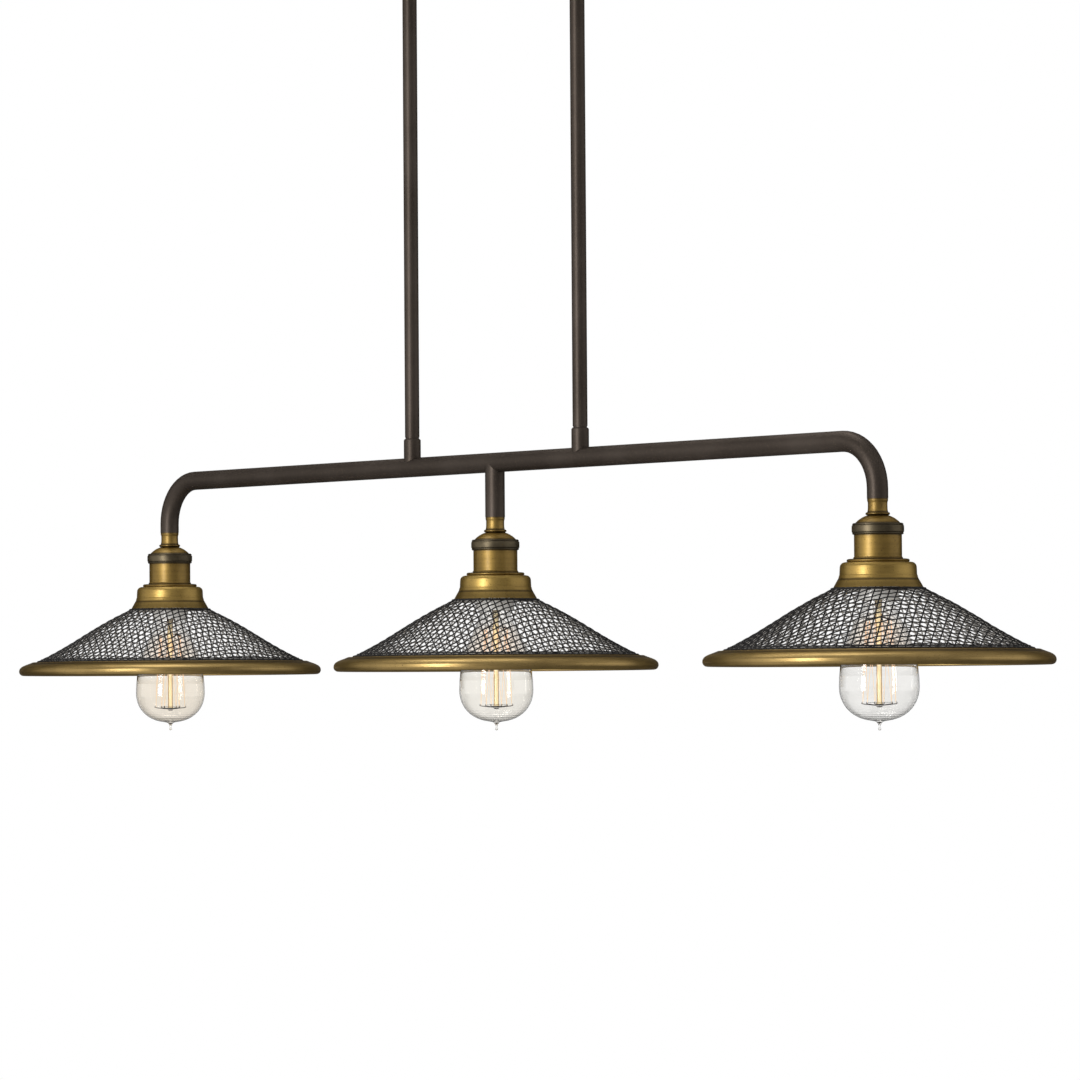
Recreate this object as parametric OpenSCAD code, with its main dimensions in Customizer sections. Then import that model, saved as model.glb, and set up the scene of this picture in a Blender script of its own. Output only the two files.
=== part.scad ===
// Three-light linear pendant for a ceiling box.
// A canopy carries two hang-straight swivels, two rods, a bent tube and three lamps
// with woven wire shades. Sizes are in millimetres, +Z is up and +X runs along the tube.
// The origin is the centre of the ceiling face of the crossbar.

/* [Layout] */
// Distance from one lamp to the next along the tube
lamp_spacing = 465; // [420:5:600]
// Distance between the two hanging rods
rod_spacing = 222; // [190:2:260]
// Length of each upper rod
upper_rod_len = 152; // [60:1:400]
// Length of each lower rod
lower_rod_len = 330; // [150:1:500]

/* [Canopy] */
// Length of the canopy along X
canopy_len = 330; // [300:2:420]
// Width of the canopy
canopy_w = 112; // [90:2:160]
// Depth of the canopy from the ceiling
canopy_h = 28; // [26:1:40]
// Sheet thickness of the canopy
canopy_wall = 1.2; // [0.8:0.1:2]
// Radius of the canopy's lower edge
canopy_edge_r = 9; // [4:1:14]

/* [Crossbar] */
// Length of the ceiling crossbar
crossbar_len = 168; // [160:1:184]
// Width of the crossbar
crossbar_w = 25; // [20:1:32]
// Thickness of the crossbar
crossbar_t = 2; // [1.5:0.1:3]
// Distance between the centres of the two box-screw slots
box_slot_spacing = 79.4; // [76:0.1:84]
// Width of each box-screw slot
box_slot_w = 4.8; // [4:0.1:6]
// End-to-end length of each box-screw slot
box_slot_len = 14.4; // [10:0.1:18]
// Distance between the two canopy studs
stud_spacing = 140; // [130:1:150]
// Diameter of a canopy stud
stud_d = 4; // [3:0.1:5]
// Width across the flats of a stud locknut
locknut_w = 7; // [6:0.1:9]
// Thickness of a stud locknut
locknut_t = 3; // [2:0.1:4]
// Diameter of the ball nut below the canopy
ball_nut_d = 12; // [9:0.5:16]

/* [Wiring] */
// Diameter of a lamp cable
cable_d = 3; // [2:0.1:3.2]
// Distance between two cables that share a rod
cable_pitch = 3.4; // [3.3:0.1:3.6]
// Inner bend radius of a cable, at its centre line
cable_bend_r = 5; // [4:0.5:5.5]
// Length of the terminal block
block_len = 26; // [20:1:34]
// Height of the terminal block
block_h = 11; // [9:0.5:14]
// Distance between two poles of the terminal block
pole_pitch = 8.5; // [8:0.5:10]

/* [Swivels] */
// Diameter of the swivel ball
ball_d = 20; // [18:0.5:24]
// Running gap between a ball and its seat
ball_gap = 0.3; // [0.2:0.05:0.5]
// Depth of the ball's centre below the canopy
ball_drop = 15; // [14:0.5:20]
// Wall of the swivel seat at its mouth
seat_wall = 2.7; // [2:0.1:4]
// Diameter of the ball's neck
ball_neck_d = 10; // [9.6:0.1:10.2]
// Distance from the ball's centre down to the rod
rod_drop = 12; // [12:0.5:18]
// Diameter of the wire bore through the swivel
wire_bore_d = 7; // [6.8:0.1:7.4]

/* [Rods and tube] */
// Outer diameter of a rod
rod_d = 12.7; // [12:0.1:14]
// Wall of a rod
rod_wall = 1.2; // [0.8:0.1:1.3]
// Length of the hidden threaded joiner between two rods
joiner_len = 30; // [16:1:50]
// Outer diameter of the coupling on the tube
coupling_d = 14.9; // [13.5:0.1:16]
// Height of the coupling above the tube
coupling_h = 18; // [12:0.5:26]
// Outer diameter of the bent tube and its drops
tube_d = 17; // [16:0.1:20]
// Wall of the tube
tube_wall = 1.2; // [1:0.1:1.6]
// Bend radius of the tube's centre line
bend_r = 39; // [28:1:42]
// Length of each drop below the tube's centre line
drop_len = 47; // [44:0.5:80]
// Radial gap of a brazed or threaded joint
fit_gap = 0.15; // [0.05:0.01:0.2]

/* [Lamp holder] */
// Diameter of the brass neck
neck_d = 16; // [14:0.1:16.5]
// Height of the neck
neck_h = 11; // [8:0.5:20]
// Diameter of the bead under the neck
bead_d = 19.5; // [18:0.1:24]
// Height of the bead
bead_h = 2.2; // [1.5:0.1:4]
// Height of the domed cap
dome_h = 6.4; // [5:0.1:12]
// Outer diameter of the dark collar
collar_d = 41.6; // [40:0.1:48]
// Height of the collar
collar_h = 9; // [8:0.1:14]
// Outer diameter of the holder's shell
shell_d = 38; // [37:0.1:39]
// Wall of the cap and the shell
shell_wall = 0.9; // [0.6:0.1:1.2]
// Visible height of the shell
shell_h = 19.4; // [14:0.1:40]
// Diameter of the insulator's thread
insulator_d = 32; // [31:0.1:32.6]
// Length of the insulator below the shade's cup
skirt_drop = 10; // [6:0.5:16]
// Depth of the lamp socket inside the insulator
socket_depth = 26.5; // [24:0.1:30]
// Diameter of the clamp washer on the cup
washer_d = 50; // [44:0.5:54]
// Thickness of the clamp washer
washer_t = 2.5; // [1.5:0.1:4]
// Outer diameter of the retaining ring inside the cup
retainer_d = 43; // [38:0.5:50]
// Height of the retaining ring
retainer_h = 4.5; // [3:0.5:8]

/* [Shade] */
// Outer diameter of the shade at its rim
shade_d = 280; // [240:2:340]
// Height of the mesh between the cup and the rim
mesh_h = 49.5; // [40:0.1:70]
// Diameter of the cup
cup_d = 61; // [56:0.5:70]
// Height of the cup with its hem
cup_h = 20; // [16:0.5:30]
// Radius of the cup's shoulder
cup_shoulder_r = 4.2; // [2:0.1:6]
// Diameter of the cup's flared hem
hem_d = 71.4; // [69:0.1:84]
// Height of the flared hem
hem_h = 6.5; // [4:0.1:9]
// Sheet thickness of the cup and the rim
shade_wall = 1; // [0.8:0.1:1.2]
// Height of the rim
rim_h = 12.5; // [10:0.1:18]
// Width of the rim, from its lip to its outside
rim_w = 12.6; // [11:0.1:20]
// Radius of the rim's rolled lower edge
rim_roll_r = 4; // [2.5:0.1:4.4]
// Number of crossing wires each way round the mesh
mesh_wires = 24; // [16:1:30]
// Number of rows of crossings up the mesh
mesh_rows = 9; // [5:1:11]
// Width of a mesh wire
mesh_wire_w = 1.6; // [1:0.1:2]
// Gap between the mesh and the rim's lip
mesh_gap = 0.25; // [0.2:0.05:0.5]

/* [Bulb] */
// Largest diameter of the glass
bulb_d = 63.8; // [56:0.2:80]
// Length from the base's contact to the glass's lowest point, without its tip
bulb_len = 124; // [108:0.5:140]
// Height of the glass below its widest place
bulb_bottom_h = 27; // [24:0.5:34]
// Length of the drawn tip under the glass
bulb_tip_h = 7.7; // [6:0.1:14]
// Thickness of the glass
glass_wall = 0.8; // [0.6:0.1:1.2]
// Diameter of the screw base
base_d = 26.2; // [25:0.1:26.4]
// Height of the screw base
base_h = 27; // [25:0.1:30]
// Diameter of the glass stem in the bulb
stem_d = 4; // [3:0.1:6]
// Height of the filament cage
cage_h = 66; // [50:0.5:70]
// Diameter of the filament cage at its bottom
cage_d = 27; // [20:0.5:34]
// Number of filament strands
strands = 12; // [8:2:16]
// Diameter of a filament strand and its supports
strand_d = 0.7; // [0.5:0.1:1]

/* [Hidden] */
$fn = 96;
overshoot = 1;
SIDES = [-1, 0, 1];

// Heights from the ceiling down, each from the one before it
z_canopy = -canopy_h;
z_ball = z_canopy - ball_drop;
z_rod = z_ball - rod_drop;
z_joint = z_rod - upper_rod_len;
z_coupling = z_joint - lower_rod_len;
z_tube = z_coupling - coupling_h - tube_d / 2;
z_neck = z_tube - drop_len;
z_bead = z_neck - neck_h;
z_dome = z_bead - bead_h;
z_collar = z_dome - dome_h;
z_shell = z_collar - collar_h;
z_washer = z_shell - shell_h;
z_cup = z_washer - washer_t;
z_hem = z_cup - cup_h;
z_lip = z_hem - mesh_h;
z_rim = z_lip - rim_h;
z_skirt = z_hem - skirt_drop;
z_socket = z_skirt + socket_depth;
z_collar_mid = z_collar - collar_h / 2;
z_insulator = z_collar - 2;
z_terminals = z_insulator - 10;

// Ceiling parts
ground_x = block_len / 2 + 7;
ground_head_t = 2.4;
ground_head_d = 7.5;
screwdriver_slot = 1;
stud_below = 7;
ball_nut_foot = 1.5;
block_w = 3 * pole_pitch;
z_block = -crossbar_t - block_h;
z_pole = z_block + block_h / 2;
pole_bore_d = cable_d + 2 * fit_gap;
pole_depth = block_len / 2 - 3;
// Just under half of the lead's sideways step, so that its two bends stay apart
lead_bend_r = (pole_pitch - cable_pitch / 2) / 2 - 0.01;

// Swivels and rods
rod_bore_d = rod_d - 2 * rod_wall;
seat_r = ball_d / 2 + ball_gap;
seat_d = 2 * (seat_r + seat_wall);
hub_shank_r = seat_r - fit_gap;
hub_flange_r = seat_d / 2 + 1;
hub_flange_t = 2.5;
hub_engage = 3.8;
lip_drop = 0.6 * seat_r;
lip_r = sqrt(seat_r ^ 2 - lip_drop ^ 2);
seat_mouth_r = lip_r + 1.4;
seat_bottom = lip_drop + 1.6;
spigot_len = 12;
rod_chamfer = 0.8;
tube_bore_d = tube_d - 2 * tube_wall;
tube_hole_r = rod_bore_d / 2;
saddle_gap = 0.05;
// How far a coupling's peg reaches through the tube's wall
peg_reach = tube_wall + 1.5;
// Where the lamp cables' corners meet the ball's round top
z_cable_top = z_ball + sqrt((ball_d / 2) ^ 2 - ((cable_pitch + cable_d) / 2) ^ 2);

// Lamp holder
thread_r = shell_d / 2 - shell_wall;
collar_bore_r = thread_r + fit_gap;
insulator_hole_r = insulator_d / 2 + fit_gap;
shoulder_r = thread_r - shell_wall - fit_gap;
shell_floor_t = 1.2;
base_clearance = 0.3;
screw_shell_t = 0.5;
screw_shell_r = base_d / 2 + base_clearance + screw_shell_t;
socket_r = screw_shell_r + fit_gap;
contact_r = 4;
contact_t = 0.8;
contact_bore_r = 8;
contact_bore_h = 3;
neck_bore_r = 4;
neck_thread_r = 5.5;

// Bulb, measured from the contact it rests on
z_contact = z_socket + contact_bore_h - contact_t - base_clearance;
z_base_end = z_contact - base_h;
z_widest = z_contact - bulb_len + bulb_bottom_h;
z_bulb_end = z_contact - bulb_len;
z_tip = z_bulb_end - bulb_tip_h;
base_wall = 0.5;
glass_neck_r = base_d / 2 - base_wall - 0.3;
z_glass = z_socket - 8;
cage_top_r = 0.37 * cage_d;
z_cage = z_bulb_end + 14;
hook_d = 2 * strand_d;

// Mesh, slightly S-shaped between the rim and the cup
foot_slope = 25;
head_slope = 25;
mesh_reach = 0.445;
foot_hem = 3;
head_hem = 2;

bronze = "#3f362e";
brass = "#a07f3f";
steel = "#b9bbbd";
porcelain = "#e6e1d6";

// Geometry helpers

function unit(v) = v / norm(v);
function polar(r, a) = [r * cos(a), r * sin(a)];
function reversed(list) = [for (k = [len(list) - 1:-1:0]) list[k]];

// Points of an arc about a centre
function arc(centre, r, from, to, steps) =
    [for (k = [0:steps]) centre + polar(r, from + (to - from) * k / steps)];

// Point of a cubic curve at t
function cubic(p, t) =
    (1 - t) ^ 3 * p[0] + 3 * (1 - t) ^ 2 * t * p[1] + 3 * (1 - t) * t ^ 2 * p[2] + t ^ 3 * p[3];

function curve(p, steps) = [for (k = [0:steps]) cubic(p, k / steps)];

// Left normal of an open path at point k, lengthened at corners so that walls keep their thickness
function path_normal(p, k) =
    let (
        last = len(p) - 1,
        before = unit(p[max(k, 1)] - p[max(k, 1) - 1]),
        after = unit(p[min(k, last - 1) + 1] - p[min(k, last - 1)]),
        middle = unit(before + after)
    )
    [-middle[1], middle[0]] / (middle * before);

// Closed section of sheet metal: a path and its copy, one wall to the left
function sheet(p, wall) =
    concat(p, reversed([for (k = [0:len(p) - 1]) p[k] + wall * path_normal(p, k)]));

module turned(points) {
    rotate_extrude()
        polygon(points);
}

module at_rods() {
    for (side = [-1, 1])
        translate([side * rod_spacing / 2, 0, 0])
            children();
}

module at_rod(side) {
    translate([side * rod_spacing / 2, 0, 0])
        children();
}

module at_lamp(side) {
    translate([side * lamp_spacing, 0, 0])
        children();
}

module pipe(outer_d, bore_d, height) {
    difference() {
        cylinder(d = outer_d, h = height);
        translate([0, 0, -overshoot])
            cylinder(d = bore_d, h = height + 2 * overshoot);
    }
}

// Plate or slot with round ends along X
module round_ended(length, width, height) {
    linear_extrude(height)
        union() {
            square([length - width, width], center = true);
            for (side = [-1, 1])
                translate([side * (length - width) / 2, 0])
                    circle(d = width);
        }
}

// Straight rod from one point to another
module rod_between(from, to, d) {
    run = to - from;
    translate(from)
        rotate([0, acos(run[2] / norm(run)), atan2(run[1], run[0])])
            cylinder(d = d, h = norm(run));
}

// Cable along a route, straight between round bends, with a radius for each bend
module cable(route, radii, d) {
    last = len(route) - 1;
    steps = [for (k = [1:last]) unit(route[k] - route[k - 1])];
    turns = [for (k = [1:last - 1]) acos(steps[k - 1] * steps[k])];
    cuts = concat([0], [for (k = [0:last - 2]) radii[k] * tan(turns[k] / 2)], [0]);
    for (k = [1:last])
        rod_between(route[k - 1] + steps[k - 1] * cuts[k - 1], route[k] - steps[k - 1] * cuts[k], d);
    for (k = [1:last - 1]) {
        along = steps[k - 1];
        inward = unit(steps[k] - along * (along * steps[k]));
        across = cross(along, inward);
        centre = route[k] - along * cuts[k] + inward * radii[k - 1];
        multmatrix([
            [-inward[0], along[0], across[0], centre[0]],
            [-inward[1], along[1], across[1], centre[1]],
            [-inward[2], along[2], across[2], centre[2]],
            [0, 0, 0, 1]
        ])
            rotate_extrude(angle = turns[k - 1])
                translate([radii[k - 1], 0])
                    circle(d = d);
    }
}

// Ceiling parts

module ceiling_crossbar() {
    color(steel)
        translate([0, 0, -crossbar_t])
            difference() {
                round_ended(crossbar_len, crossbar_w, crossbar_t);
                for (side = [-1, 1]) {
                    translate([side * box_slot_spacing / 2, 0, -overshoot])
                        round_ended(box_slot_len, box_slot_w, crossbar_t + 2 * overshoot);
                    translate([side * stud_spacing / 2, 0, -overshoot])
                        cylinder(d = stud_d + 2 * fit_gap, h = crossbar_t + 2 * overshoot);
                }
                translate([ground_x, 0, -overshoot])
                    cylinder(d = stud_d + 2 * fit_gap, h = crossbar_t + 2 * overshoot);
            }
}

module ground_screw() {
    color("#3d7d46")
        translate([ground_x, 0, 0]) {
            translate([0, 0, -crossbar_t - ground_head_t])
                difference() {
                    cylinder(d = ground_head_d, h = ground_head_t);
                    translate([-ground_head_d, -screwdriver_slot / 2, -overshoot])
                        cube([2 * ground_head_d, screwdriver_slot, overshoot + 1]);
                }
            translate([0, 0, -crossbar_t])
                cylinder(d = stud_d, h = crossbar_t);
        }
}

module canopy_studs() {
    color(steel)
        for (side = [-1, 1])
            translate([side * stud_spacing / 2, 0, z_canopy - stud_below])
                cylinder(d = stud_d, h = canopy_h + stud_below);
}

module stud_locknuts() {
    color(steel)
        for (side = [-1, 1])
            translate([side * stud_spacing / 2, 0, -crossbar_t - locknut_t])
                difference() {
                    cylinder(d = locknut_w / cos(30), h = locknut_t, $fn = 6);
                    translate([0, 0, -overshoot])
                        cylinder(d = stud_d + 2 * fit_gap, h = locknut_t + 2 * overshoot);
                }
}

// Half section of the canopy pan, from its open edge to the middle of its floor
function canopy_path() = concat(
    [[canopy_w / 2, 0]],
    arc([canopy_w / 2 - canopy_edge_r, z_canopy + canopy_edge_r], canopy_edge_r, 0, -90, 8)
);

function canopy_floor(points) = concat([[0, z_canopy + canopy_wall], [0, z_canopy]], points);

module canopy_cover() {
    straight = canopy_len - canopy_w;
    wall = sheet(reversed(canopy_path()), canopy_wall);
    half = canopy_floor(wall);
    color(bronze)
        difference() {
            union() {
                for (side = [-1, 1])
                    translate([side * straight / 2, 0, 0])
                        rotate([0, 0, -90 * side])
                            rotate_extrude(angle = 180)
                                polygon(half);
                for (turn = [0, 180])
                    rotate([90, 0, 90 + turn])
                        linear_extrude(straight, center = true)
                            polygon(half);
            }
            at_rods()
                translate([0, 0, z_canopy - overshoot])
                    cylinder(r = hub_shank_r + fit_gap, h = canopy_wall + 2 * overshoot);
            for (side = [-1, 1])
                translate([side * stud_spacing / 2, 0, z_canopy - overshoot])
                    cylinder(d = stud_d + 4 * fit_gap, h = canopy_wall + 2 * overshoot);
        }
}

module canopy_ball_nuts() {
    color(bronze)
        for (side = [-1, 1])
            translate([side * stud_spacing / 2, 0, z_canopy])
                difference() {
                    union() {
                        translate([0, 0, -ball_nut_foot])
                            cylinder(d = ball_nut_d - 1, h = ball_nut_foot);
                        translate([0, 0, -ball_nut_foot - 0.42 * ball_nut_d])
                            sphere(d = ball_nut_d);
                    }
                    translate([0, 0, -stud_below - fit_gap])
                        cylinder(d = stud_d + 2 * fit_gap, h = stud_below + ball_nut_d);
                    translate([-ball_nut_d, -ball_nut_d, 0])
                        cube([2 * ball_nut_d, 2 * ball_nut_d, ball_nut_d]);
                }
}

module terminal_block() {
    color(porcelain)
        difference() {
            translate([-block_len / 2, -block_w / 2, z_block])
                cube([block_len, block_w, block_h]);
            for (pole = [-1, 0, 1])
                for (end = [-1, 1]) {
                    translate([end * (block_len / 2 - pole_depth / 2), pole * pole_pitch, z_pole])
                        rotate([0, 90, 0])
                            cylinder(d = pole_bore_d, h = pole_depth + 0.01, center = true);
                    translate([end * block_len / 4, pole * pole_pitch, z_block - overshoot])
                        cylinder(d = pole_bore_d, h = overshoot + 2);
                }
            for (gap = [-1, 1])
                translate([-block_len, gap * pole_pitch / 2 - 0.5, z_block - overshoot])
                    cube([2 * block_len, 1, overshoot + 2.5]);
        }
}

// One cable from the swivel on a side, out past the stud and along to a pole of the terminal block
module canopy_lead(side, offset, pole) {
    z_start = z_ball + ball_d / 2 + ball_gap;
    hub_x = side * rod_spacing / 2;
    pole_y = pole * pole_pitch;
    cable([
        [hub_x, offset, z_start],
        [hub_x, offset, z_pole],
        [hub_x, pole_y, z_pole],
        [side * (block_len / 2 - pole_depth + 1), pole_y, z_pole]
    ], [lead_bend_r, lead_bend_r], cable_d);
}

module canopy_leads() {
    color("#d8d2c4") {
        canopy_lead(-1, 0, 1);
        canopy_lead(1, cable_pitch / 2, 1);
        canopy_lead(1, -cable_pitch / 2, -1);
    }
}

// Swivels

module swivel_hubs() {
    color(steel)
        at_rods()
            turned([
                [wire_bore_d / 2, z_canopy - hub_engage],
                [hub_shank_r, z_canopy - hub_engage],
                [hub_shank_r, z_canopy + canopy_wall],
                [hub_flange_r, z_canopy + canopy_wall],
                [hub_flange_r, z_canopy + canopy_wall + hub_flange_t - 0.6],
                [hub_flange_r - 0.6, z_canopy + canopy_wall + hub_flange_t],
                [wire_bore_d / 2, z_canopy + canopy_wall + hub_flange_t]
            ]);
}

module swivel_seat(side) {
    ball = [0, z_ball];
    color(bronze)
        at_rod(side)
            turned(concat(
                [[seat_r, z_canopy]],
                arc(ball, seat_r, 0, -asin(lip_drop / seat_r), 8),
                [[seat_mouth_r, z_ball - seat_bottom]],
                [[seat_mouth_r + 0.8, z_ball - seat_bottom]],
                curve([
                    [seat_mouth_r + 1.2, z_ball - seat_bottom + 0.5],
                    [seat_d / 2 - 1.2, z_ball - seat_bottom + 1.2],
                    [seat_d / 2, z_ball - 3.5],
                    [seat_d / 2, z_ball + 1]
                ], 8),
                [[seat_d / 2, z_canopy]]
            ));
}

module swivel_ball(side) {
    color(bronze)
        at_rod(side)
            difference() {
                union() {
                    translate([0, 0, z_ball])
                        sphere(d = ball_d);
                    translate([0, 0, z_rod])
                        cylinder(d = ball_neck_d, h = rod_drop);
                    translate([0, 0, z_rod])
                        cylinder(r = rod_d / 2 - rod_chamfer, h = 1.2);
                    translate([0, 0, z_rod - spigot_len])
                        cylinder(d = rod_bore_d - 2 * fit_gap, h = spigot_len);
                }
                translate([0, 0, z_rod - spigot_len - overshoot])
                    cylinder(d = wire_bore_d, h = rod_drop + spigot_len + ball_d);
            }
}

// Rods, couplings and tube

module upper_rod(side) {
    color(bronze)
        at_rod(side)
            translate([0, 0, z_joint])
                difference() {
                    union() {
                        cylinder(d = rod_d, h = upper_rod_len - rod_chamfer);
                        translate([0, 0, upper_rod_len - rod_chamfer])
                            cylinder(d1 = rod_d, d2 = rod_d - 2 * rod_chamfer, h = rod_chamfer);
                    }
                    translate([0, 0, -overshoot])
                        cylinder(d = rod_bore_d, h = upper_rod_len + 2 * overshoot);
                }
}

module lower_rod(side) {
    color(bronze)
        at_rod(side)
            translate([0, 0, z_coupling])
                pipe(rod_d, rod_bore_d, lower_rod_len);
}

module rod_joiners() {
    color(steel)
        at_rods()
            translate([0, 0, z_joint - joiner_len / 2])
                pipe(rod_bore_d - 2 * fit_gap, wire_bore_d, joiner_len);
}

// Cylinder along the tube, for the saddles of the pieces brazed to it
module tube_saddle() {
    translate([0, 0, z_tube])
        rotate([0, 90, 0])
            cylinder(d = tube_d + 2 * saddle_gap, h = 4 * tube_d, center = true);
}

module rod_coupling(side) {
    body_r = coupling_d / 2;
    waist_r = rod_d / 2 - 0.4;
    color(bronze)
        at_rod(side)
            difference() {
                union() {
                    difference() {
                        turned([
                            [0, z_tube + 0.2 * tube_d],
                            [body_r, z_tube + 0.2 * tube_d],
                            [body_r, z_coupling - 2.6],
                            [body_r - 0.7, z_coupling - 1.6],
                            [waist_r, z_coupling - 1.2],
                            [waist_r, z_coupling],
                            [0, z_coupling]
                        ]);
                        tube_saddle();
                    }
                    translate([0, 0, z_coupling - coupling_h - peg_reach])
                        cylinder(d = rod_bore_d - 2 * fit_gap, h = peg_reach + coupling_h + spigot_len);
                }
                translate([0, 0, z_tube])
                    cylinder(d = wire_bore_d, h = tube_d + coupling_h + spigot_len);
            }
}

// Bent tube as one solid rod, with its ends lengthened by extra
module tube_core(d, extra) {
    straight = lamp_spacing - bend_r;
    rotate([0, 90, 0])
        cylinder(d = d, h = 2 * straight, center = true);
    for (turn = [0, 180])
        rotate([0, 0, turn]) {
            translate([straight, 0, -bend_r])
                rotate([90, 0, 0])
                    rotate_extrude(angle = 90)
                        translate([bend_r, 0])
                            circle(d = d);
            translate([lamp_spacing, 0, -drop_len - extra])
                cylinder(d = d, h = drop_len - bend_r + extra);
        }
}

module bent_tube() {
    color(bronze)
        translate([0, 0, z_tube])
            difference() {
                tube_core(tube_d, 0);
                tube_core(tube_bore_d, overshoot);
                at_rods()
                    cylinder(r = tube_hole_r, h = tube_d);
                translate([0, 0, -tube_d])
                    cylinder(r = neck_bore_r, h = tube_d);
            }
}

module middle_drop() {
    color(bronze)
        difference() {
            translate([0, 0, z_neck])
                cylinder(d = tube_d, h = drop_len);
            tube_saddle();
            translate([0, 0, z_neck - overshoot])
                cylinder(d = tube_bore_d, h = drop_len + 2 * overshoot);
        }
}

// Cable from a swivel down its rod, along the tube and down to a lamp holder
module lamp_cable(rod_side, offset, lamp_side) {
    rod_x = rod_side * rod_spacing / 2;
    lamp_x = lamp_side * lamp_spacing;
    cable([
        [rod_x, offset, z_cable_top],
        [rod_x, offset, z_tube],
        [lamp_x, offset, z_tube],
        [lamp_x, offset, z_terminals]
    ], [cable_bend_r, lamp_side == 0 ? cable_bend_r : bend_r], cable_d);
}

module lamp_cables() {
    color("#2b2b2b") {
        lamp_cable(-1, 0, -1);
        lamp_cable(1, cable_pitch / 2, 1);
        lamp_cable(1, -cable_pitch / 2, 0);
    }
}

// Lamp holders

module holder_neck(side) {
    top_r = neck_d / 2 + 0.3;
    waist_r = neck_d / 2 - 0.2;
    bead_r = bead_d / 2;
    color(brass)
        at_lamp(side)
            turned(concat(
                [
                    [neck_bore_r, z_neck + spigot_len],
                    [neck_bore_r, z_dome - 4],
                    [neck_thread_r, z_dome - 4],
                    [neck_thread_r, z_dome],
                    [bead_r - 1.2, z_dome]
                ],
                arc([bead_r - bead_h / 2, z_dome + bead_h / 2], bead_h / 2, -60, 90, 6),
                curve([
                    [waist_r + 0.6, z_bead],
                    [waist_r - 0.1, z_bead + 1.5],
                    [waist_r, z_bead + 0.4 * neck_h],
                    [waist_r, z_bead + 0.7 * neck_h]
                ], 6),
                [
                    [top_r, z_neck - 1.6],
                    [top_r, z_neck],
                    [tube_bore_d / 2 - fit_gap, z_neck],
                    [tube_bore_d / 2 - fit_gap, z_neck + spigot_len]
                ]
            ));
}

module holder_cap(side) {
    top_r = bead_d / 2 - 1.4;
    path = concat(
        [[neck_thread_r + fit_gap, z_dome], [top_r, z_dome]],
        curve([
            [top_r + 0.6, z_dome - 0.4],
            [top_r + 4.2, z_dome - 0.25 * dome_h],
            [thread_r - 2.8, z_collar + 0.45 * dome_h],
            [thread_r - 0.4, z_collar + 0.4]
        ], 10),
        [[thread_r, z_collar - 0.2], [thread_r, z_collar_mid + fit_gap]]
    );
    color(brass)
        at_lamp(side)
            turned(sheet(path, -shell_wall));
}

module holder_collar(side) {
    r = collar_d / 2;
    color(bronze)
        at_lamp(side)
            turned([
                [collar_bore_r, z_shell],
                [r - 1, z_shell],
                [r - 0.4, z_shell + 0.6],
                [r - 0.5, z_shell + 1.3],
                [r - 0.7, z_shell + 1.5],
                [r - 0.1, z_shell + 2],
                [r, z_shell + 2.8],
                [r, z_collar - 2.8],
                [r - 0.1, z_collar - 2],
                [r - 0.7, z_collar - 1.5],
                [r - 0.5, z_collar - 1.3],
                [r - 0.5, z_collar - 0.7],
                [r - 1.2, z_collar],
                [collar_bore_r, z_collar]
            ]);
}

module holder_shell(side) {
    r = shell_d / 2;
    color(brass)
        at_lamp(side)
            turned([
                [thread_r - shell_wall, z_collar_mid - fit_gap],
                [thread_r - shell_wall, z_shell - shell_wall],
                [thread_r, z_shell - shell_wall],
                [thread_r, z_washer + shell_floor_t],
                [insulator_hole_r, z_washer + shell_floor_t],
                [insulator_hole_r, z_washer],
                [r + 0.5, z_washer],
                [r + 0.8, z_washer + 0.5],
                [r + 0.6, z_washer + 1.2],
                [r, z_washer + 1.8],
                [r, z_shell],
                [thread_r, z_shell],
                [thread_r, z_collar_mid - fit_gap]
            ]);
}

module insulator(side) {
    r = insulator_d / 2;
    pocket_r = 0.62 * shoulder_r;
    color(porcelain)
        at_lamp(side)
            turned([
                [0, z_terminals],
                [pocket_r, z_terminals],
                [pocket_r, z_insulator],
                [shoulder_r, z_insulator],
                [shoulder_r, z_washer + shell_floor_t],
                [r, z_washer + shell_floor_t],
                [r, z_skirt + 0.6],
                [r - 0.6, z_skirt],
                [socket_r, z_skirt],
                [socket_r, z_socket],
                [contact_bore_r, z_socket],
                [contact_bore_r, z_socket + contact_bore_h],
                [0, z_socket + contact_bore_h]
            ]);
}

module socket_contacts() {
    shell_len = socket_depth - 3;
    color("#b08a4a")
        for (side = SIDES)
            at_lamp(side) {
                translate([0, 0, z_socket - shell_len])
                    pipe(2 * screw_shell_r, base_d + 2 * base_clearance, shell_len);
                translate([0, 0, z_socket + contact_bore_h - contact_t])
                    cylinder(r = contact_r, h = contact_t);
            }
}

module clamp_washers() {
    r = washer_d / 2;
    color(brass)
        for (side = SIDES)
            at_lamp(side)
                turned(concat(
                    [[insulator_hole_r, z_washer], [insulator_hole_r, z_cup]],
                    arc([r - washer_t / 2, z_cup + washer_t / 2], washer_t / 2, -90, 90, 8)
                ));
}

module shade_retainers() {
    r = retainer_d / 2;
    z_top = z_cup - shade_wall;
    color(bronze)
        for (side = SIDES)
            at_lamp(side)
                turned([
                    [insulator_hole_r, z_top],
                    [insulator_hole_r, z_top - retainer_h],
                    [r - 2, z_top - retainer_h],
                    [r, z_top - 0.4 * retainer_h],
                    [r, z_top]
                ]);
}

// Shades

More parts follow.
